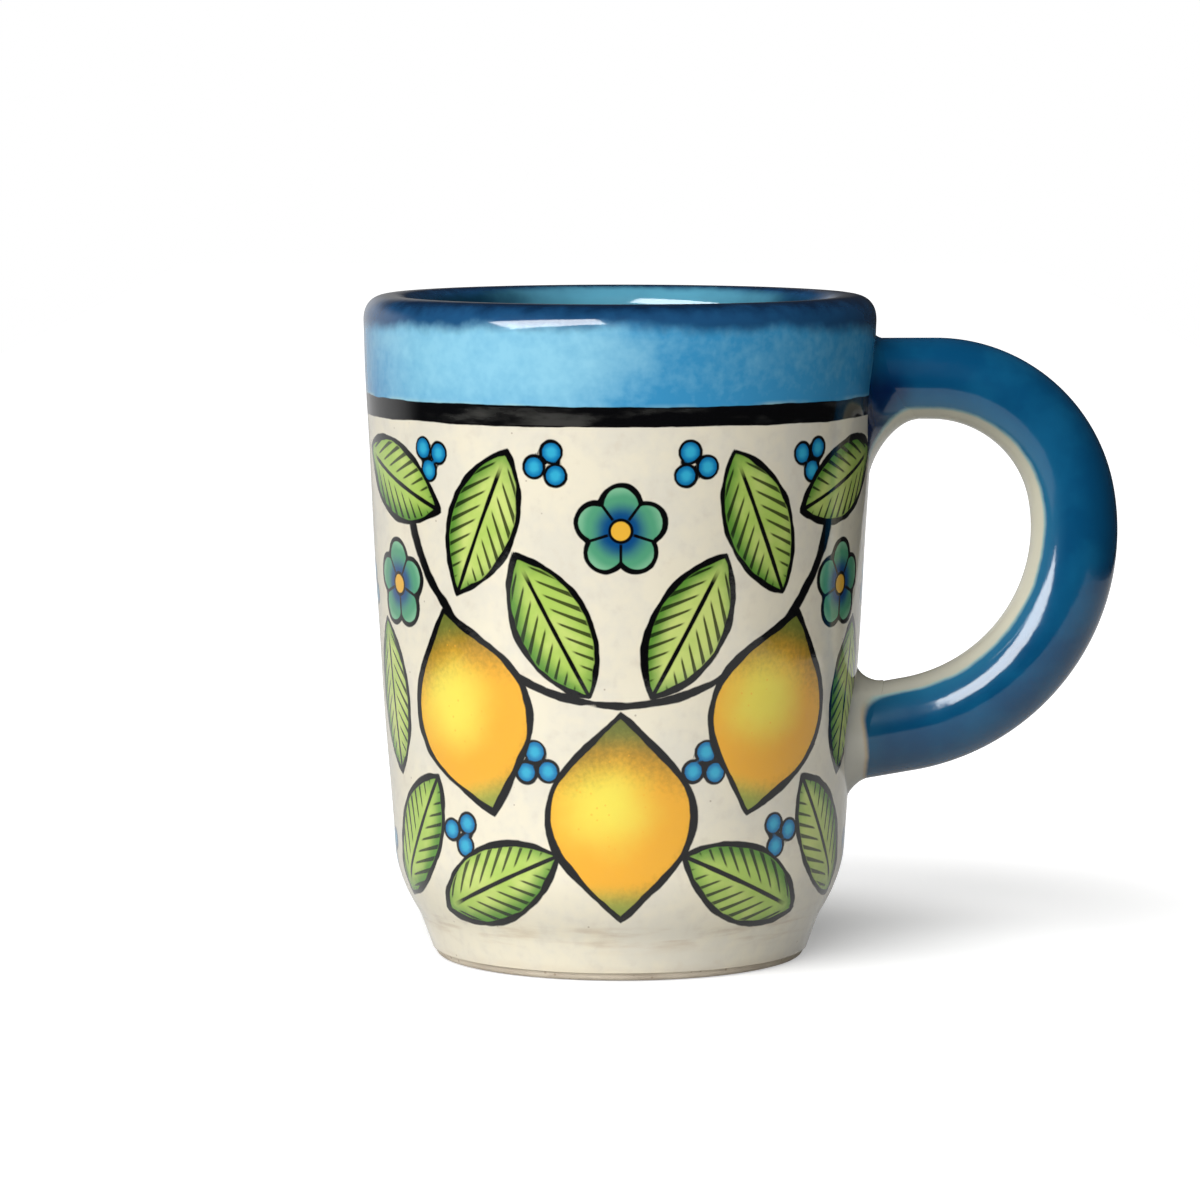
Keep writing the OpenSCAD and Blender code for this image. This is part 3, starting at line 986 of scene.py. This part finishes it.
f.relief(f.noise(5, detail=2) + 0.3 * f.noise(1.2, detail=2), 0.03)
f.finish(colour, gloss(f), wall)

# %% [markdown]
# ## Blue rim and black stripe
#
# The rim is one broad brush of blue: deep where it was full, and nearly black-blue on the lip, where the
# glaze ran thick. It is painted paler on the side that faces the key lamp, as a painted sheen, and the same
# on the side opposite, broken by the brush's streaks. A ramp of colours over the height would give even
# bands.
# The distance from the lip's crest, stored on the rim and shaken by noise, gives a ragged shore instead.
# The streaks follow the brush round the cup, so their noise is squeezed in height. The stripe is a second,
# narrow brush, and a breath of pale glaze shows between the two. The stripe turns grey in thin patches,
# and in a band at the front left and the back right, where it is a painted reflection.

# %% Material of the rim
band_pale = (0.26, 0.58, 0.75)
band_blue = (0.045, 0.29, 0.55)
lip_cobalt = (0.0020, 0.018, 0.056)
lip_blue = (0.012, 0.072, 0.180)
inner_teal = (0.085, 0.30, 0.42)
inner_painted_shade = (0.004, 0.035, 0.070)
fringe = (0.45, 0.66, 0.62)

f = Finish("blue_rim_glaze", IOR=glaze_ior)
drop = f.mark("drop")
streaks = f.wobble(24, detail=4, stretch=(1, 1, 0.16), shift=(2, 5, 1))
# Paler on the side that faces the key lamp and on the side opposite: painted sheen, with the brush's
# streaks.
along_lamp_axis = abs(0.55 * f.x + 0.835 * f.y)
pale = 0.10 + 0.80 * f.step(29, 40, along_lamp_axis + 8 * streaks + 7 * f.wobble(9, detail=4))
mottle = f.wobble(1.3, detail=4, shift=(4, 1, 6)) + f.wobble(3.5, detail=4, shift=(8, 2, 5))
full = f.step(stripe_high + 5, stripe_high, f.z + 5 * f.wobble(14, detail=3))
colour = f.mix(pale + 0.55 * mottle - 0.22 * full, band_blue, band_pale)
# Inside, painted shade: deep blue except on the back of the inner wall, which faces the lamp.
facing = 0.15 * f.x + 0.98 * f.y + 8 * f.wobble(7, detail=4, shift=(3, 3, 1))
inside = f.mix(f.step(21, 35, facing), inner_painted_shade, inner_teal)
colour = f.mix(f.step(0.5, -0.5, drop), colour, inside)
ragged = f.wobble(8, detail=4, stretch=(1, 1, 3), shift=(0, 7, 2))
shore = 5.7 + 0.0008 * f.x * f.x + 1.5 * ragged + 3.0 * f.wobble(15, shift=(1, 4, 8))
inner_shore = 2.5 + 0.0016 * f.x * f.x + 2.0 * ragged
past_shore = f.math("MAXIMUM", drop - shore, -1.0 * drop - inner_shore)
pooled = abs(drop) + 2.5 * ragged + 4.5 * f.wobble(2.8, detail=4, shift=(7, 7, 2))
lip = f.mix(f.step(0.8, 5.2, pooled), lip_cobalt, lip_blue)
colour = f.mix(f.step(1.3, -1.3, past_shore + 1.4 * f.wobble(2.2, detail=4)), colour, lip)
breath = f.step(1.0, 0.2, f.z - stripe_high) * f.step(0.4, 0.7, f.noise(9))
colour = f.mix(breath * 0.7, colour, fringe)
spill = 0.75 * f.noise(9, detail=4, stretch=(1, 1, 4), shift=(4, 4, 0)) - 0.1
colour = f.mix(f.step(0.1, -0.1, f.z - stripe_high - spill) * f.step(0, 0.5, drop), colour, ink)
runs = 5.0 * f.noise(7, detail=2, stretch=(1, 1, 5)) - 1.5
bare_inside = f.step(0.6, -0.6, f.z - liner_top - runs) * f.step(-0.5, -1.0, drop)
colour = f.mix(bare_inside, colour, cream_ground(f))
f.relief(f.noise(4, detail=3), 0.04)
f.finish(colour, gloss(f), rim)

# %% Material of the stripe
thin_ink_and_reflection = (0.042, 0.042, 0.039)

f = Finish("black_brush_stripe", IOR=glaze_ior)
# Grey where the ink ran thin, in random patches, and in a band at the front left and the back right: a
# painted reflection.
painted_reflection = f.step(38.8, 40.8, abs(0.31 * f.x + 0.95 * f.y)) * 0.16
thin = f.step(0.54, 0.80, f.noise(9, detail=6, stretch=(1, 1, 0.25), shift=(2, 6, 3)) + painted_reflection)
colour = f.mix(thin, ink, thin_ink_and_reflection)
f.relief(f.noise(5, detail=2), 0.03)
f.finish(colour, gloss(f), stripe)

# %% Material of the inside
f = Finish("inside_cream_glaze", IOR=glaze_ior)
f.relief(f.noise(5, detail=2), 0.03)
f.finish(cream_ground(f), gloss(f), liner)

# %% [markdown]
# ## Dipped handle
#
# The handle is coated with deep blue, but not along the inside of the loop. There a cream strip stays,
# with a soft border that pales where the coat is thin and turns tan by the lower joint. Under the upper
# joint the blue turns navy, partly pooled glaze and partly painted shade, and towards the lower joint both
# blue and cream are painted darker as shade. Two materials on picked faces would give a stepped border.
# Instead, the distance from the border is stored on the rod and its joints, and the border is a smooth step
# of it, shaken by noise.

# %% Material of the handle and its joints
dip_blue = (0.0015, 0.060, 0.150)
dip_light = (0.004, 0.088, 0.195)
navy_pool_and_shade = (0.0006, 0.010, 0.058)
dip_thin = (0.018, 0.135, 0.255)
thin_edge = (0.28, 0.44, 0.44)
joint_tan = (0.42, 0.33, 0.21)
strip_tint_and_shade = (0.57, 0.555, 0.44)
collar_painted_shade = (0.33, 0.33, 0.285)
lower_joint_painted_shade = (0.0008, 0.034, 0.085)

f = Finish("dipped_handle_glaze", IOR=glaze_ior)
bare, from_upper_joint, from_lower_joint = f.marks("dip")
bare = bare + f.wobble(5, detail=4)
streaks = f.noise(9, detail=4, shift=(1, 2, 3))
colour = f.mix(f.step(0.35, 0.7, streaks), dip_blue, dip_light)
# Navy where the glaze pooled in the corner of the upper joint, darker underneath as painted shade.
pool_and_shade = f.step(7.5, 2.5, from_upper_joint + 3 * f.wobble(5))
colour = f.mix(pool_and_shade * f.step(handle_z + 4, handle_z - 2, f.z), colour, navy_pool_and_shade)
near_edge = f.step(-5.0, -0.6, bare) * f.step(1.0, 7.0, from_upper_joint) * 0.85
colour = f.mix(near_edge, colour, dip_thin)
# Darker towards the lower joint: painted shade where the handle meets the wall.
colour = f.mix(f.step(16.0, 2.0, from_lower_joint) * 0.6, colour, lower_joint_painted_shade)
edge = f.mix(f.step(5.0, 1.0, from_lower_joint), thin_edge, joint_tan)
colour = f.mix(f.step(-1.0, -0.15, bare), colour, edge)
# The bare strip is a yellowish cream, painted darker as shade from the cup's wall, and darker still near the
# lower joint: painted shade.
strip_painted_shade = f.mix(f.step(42.0, 6.0, from_lower_joint), strip_tint_and_shade, collar_painted_shade)
colour = f.mix(f.step(-0.45, 0.3, bare), colour, f.mix(0.7, cream_ground(f), strip_painted_shade))
f.relief(f.noise(4, detail=3), 0.05)
f.finish(colour, gloss(f, 0.09, 0.14), rod, upper_collar, lower_collar)

# %% [markdown]
# ## Bare clay
#
# The foot is unglazed stoneware: matt, gritty, and a little darker than the cream. An image of clay would
# have to be wrapped round the foot. Noise fills space and needs no wrapping: a fine one in the bump is the
# grit, and the brown grains are specks.

# %% Material of the bare clay
clay_buff = (0.62, 0.55, 0.44)
clay_dark = (0.50, 0.43, 0.34)

f = Finish("bare_foot_clay", IOR=1.45)
grain = f.noise(1.1, detail=5)
colour = f.mix(f.step(0.35, 0.7, f.noise(8, detail=4)), clay_buff, clay_dark)
colour = f.mix(f.specks(1.3, 0.3, 0.4) * 0.6, colour, iron_speck)
f.relief(grain, 0.08)
f.finish(colour, 0.75 + 0.2 * grain, body)

# %% [markdown]
# ## Stage
#
# The picture is a studio shot on white. The white table ends a short way in front of the mug, and beyond
# it the room is dark: both show in the glaze, the table as pale bands low on the handle and the room as
# deep tones on the right. More light would whiten the table, but bleach the mug as well. So the table is
# pale grey, and a glow that only the camera and mirrors see takes it to white. The glow starts low under
# the foot's back edge and grows outwards, so a soft shadow stays there.

# %% White table
table_front, table_back = -0.24, 3.0
table_half = 0.30
table_white = (0.56, 0.56, 0.555, 1)
contact_glow, table_glow = 0.17, 0.68
shadow_middle = (0.014, 0.024, 0)
near_reach, far_reach = 0.065, 0.15
mirror_glow = 0.25
table_gap, table_rough = 0.0001, 0.9

sheet = bpy.data.meshes.new("white_table")
rows = [(-table_half, table_half, table_front), (table_half, -table_half, table_back)]
sheet.from_pydata([(x, y, -table_gap) for a, b, y in rows for x in (a, b)], [], [(0, 1, 2, 3)])
table = bpy.data.objects.new("white_table", sheet)
bpy.context.scene.collection.objects.link(table)
f = Finish("white_table", Specular_IOR_Level=0.0, Emission_Color=(1, 1, 1, 1))
away = f.add("VectorMath", {0: f.place, 1: shadow_middle}, output="Value", operation="DISTANCE")
near = f.step(0.0, near_reach, away, contact_glow, table_glow)
glow = f.level(f.step(near_reach, far_reach, away), near, 1.0)
f.feed(f.shader.inputs["Emission Strength"], f.by_ray(0.0, mirror_glow, glow))
f.finish(table_white, table_rough, table)

# %% [markdown]
# ## Light
#
# Two soft lamps stand to the left in front of the mug. The broad one lights it and does not show in the
# glaze. The long one, rolled a little, only shows in the glaze: it makes the bright bars on the lip and
# the handle. One lamp could do both, but its place would suit only one of them. Behind the mug hangs a
# white backdrop, which the world paints: white for the camera, a low level for the light that falls on the
# mug, and in mirrors a narrow sheet that leans to the left and dims upwards.

# %% Backdrop and room
room_level = 0.025
backdrop_level = 0.60
backdrop_edge = (0.35, 0.85)
mirrored_lean = (-0.60, 0.80, 0)
mirrored_edge = (0.74, 0.95)
mirrored_top = (0.15, 0.45)
mirrored_level, mirrored_high = 0.70, 0.03

world = bpy.data.worlds.new("studio_room")
bpy.context.scene.world = world
world.use_nodes = True
g = Graph(world.node_tree)
background = g.tree.nodes["Background"]
background.inputs["Color"].default_value = (1, 1, 1, 1)
direction = g.add("TexCoord", {}, output="Generated")
_, back, up = g.split(direction)
lighting = g.step(*backdrop_edge, back, room_level, backdrop_level)
bright = g.step(*mirrored_top, up, mirrored_level, mirrored_high)
lean = g.add("VectorMath", {0: direction, 1: mirrored_lean}, output="Value", operation="DOT_PRODUCT")
mirrored = g.level(g.step(*mirrored_edge, lean), room_level, bright)
g.feed(background.inputs["Strength"], g.by_ray(lighting, mirrored, 1.0))
print(f"{world.name}: {len(g.tree.nodes)} nodes")

# %% Soft lamps
lamp_away = 2.4
aim = np.array([0, 0, 0.055])


def soft_lamp(name, azimuth, height, roll, wide, tall, power):
    """A rectangle of light that faces the mug. The azimuth turns from the camera's side to the left, and the
    roll turns the rectangle in its own plane, in degrees."""
    turn, lift = math.radians(azimuth), math.radians(height)
    level = math.cos(lift)
    toward = np.array([-math.sin(turn) * level, -math.cos(turn) * level, math.sin(lift)])
    data = bpy.data.lights.new(name, "AREA")
    data.shape = "RECTANGLE"
    data.size = wide
    data.size_y = tall
    data.energy = power
    lamp = bpy.data.objects.new(name, data)
    lamp.location = aim + lamp_away * toward
    upright = Euler((math.pi / 2 - lift, 0, -turn)).to_matrix()
    lamp.rotation_euler = (upright @ Matrix.Rotation(math.radians(roll), 3, "Z")).to_euler()
    bpy.context.scene.collection.objects.link(lamp)
    print(f"{name}: {power} W")
    return lamp


key = soft_lamp("key_lamp", azimuth=28, height=35, roll=0, wide=2.8, tall=2.2, power=100)
key.visible_glossy = False
glint = soft_lamp("glint_lamp", azimuth=34, height=23, roll=27, wide=2.1, tall=1.05, power=97)
glint.visible_diffuse = False

# %% [markdown]
# ## Camera
#
# The place comes from the picture: the curves of the lip, the stripe and the foot are ellipses whose
# flatness tells how far above the mug the eye was, and how their flatness differs tells how near it stood.
# A long lens from just under a metre fits all three.

# %% Camera
camera_place = (-0.00325, -0.88886, 0.14628)
camera_pitch = 5.672
camera_lens = 163.9

camera = bpy.data.objects.new("camera", bpy.data.cameras.new("camera"))
camera.location = camera_place
camera.rotation_euler = (math.radians(90 - camera_pitch), 0, 0)
camera.data.lens = camera_lens
camera.data.sensor_width = 36
bpy.context.scene.collection.objects.link(camera)
bpy.context.scene.camera = camera
bpy.context.scene.view_settings.view_transform = "Standard"
print(f"camera: {camera_lens} mm lens, {math.hypot(*camera_place):.2f} m from the foot")
